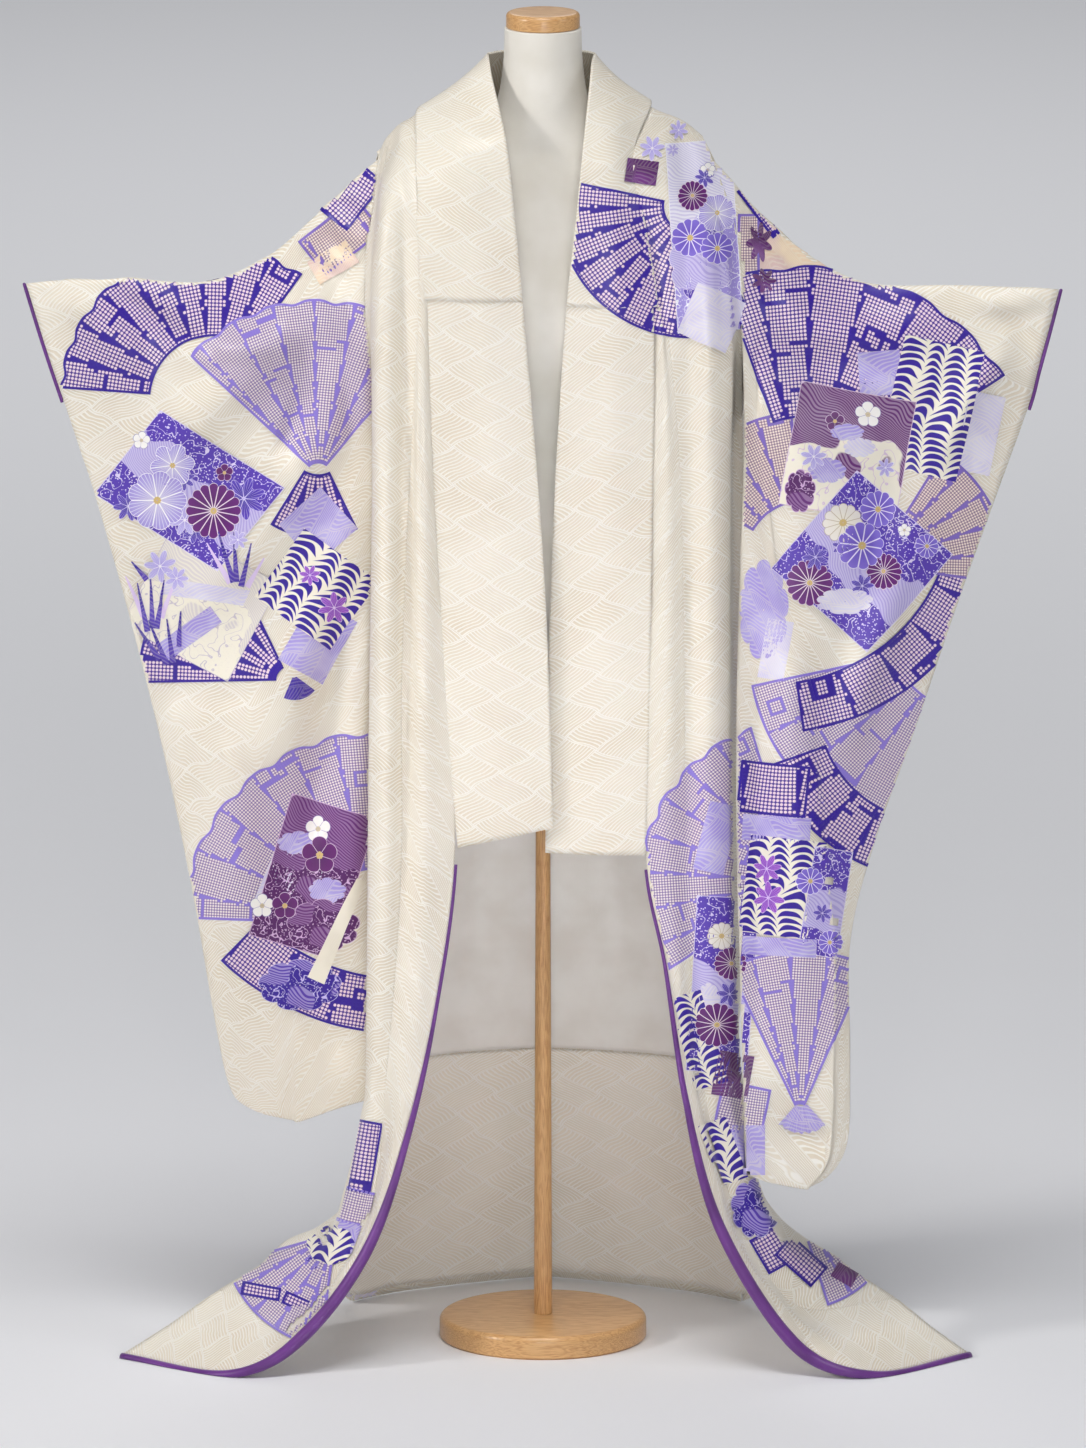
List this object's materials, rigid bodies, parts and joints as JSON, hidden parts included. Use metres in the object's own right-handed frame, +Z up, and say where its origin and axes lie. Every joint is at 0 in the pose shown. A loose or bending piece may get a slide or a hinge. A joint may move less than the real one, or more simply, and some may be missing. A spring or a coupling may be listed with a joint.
{
  "type": "furisode on a dress form",
  "caption": "Long-sleeved cream silk furisode with violet fan, card and flower motifs, hanging open on a limbless cloth-covered dress form with a wooden pole and round base.",
  "frame": {"origin": "middle of the underside of the round base, on the floor", "axes": "+Z up the pole, the open front of the garment faces -Y, +X towards the sleeve seen on the right from the front"},
  "size_m": [1.3396, 0.5494, 1.7527],
  "materials": {
    "furisode_silk": "satin woven damask, printed in violets",
    "lining_silk": "plain soft silk",
    "hem_lining_silk": "satin woven damask",
    "violet_silk": "satin",
    "form_cloth": "fine matt cotton",
    "wood": "satin lacquer"
  },
  "bodies": {
    "root": {"base": "wood", "pole": "wood", "neck_cap": "wood", "form": "form_cloth", "body_left": "furisode_silk", "body_right": "furisode_silk", "okumi_left": "furisode_silk", "okumi_right": "furisode_silk", "sleeve_left": "furisode_silk", "sleeve_right": "furisode_silk", "collar": "furisode_silk", "over_collar": "furisode_silk", "hem_lining_left": "hem_lining_silk", "hem_lining_right": "hem_lining_silk", "lining_left": "lining_silk", "lining_right": "lining_silk", "front_roll_left": "violet_silk", "front_roll_right": "violet_silk", "cuff_edge_left": "violet_silk", "cuff_edge_right": "violet_silk"}
  },
  "joints": []
}
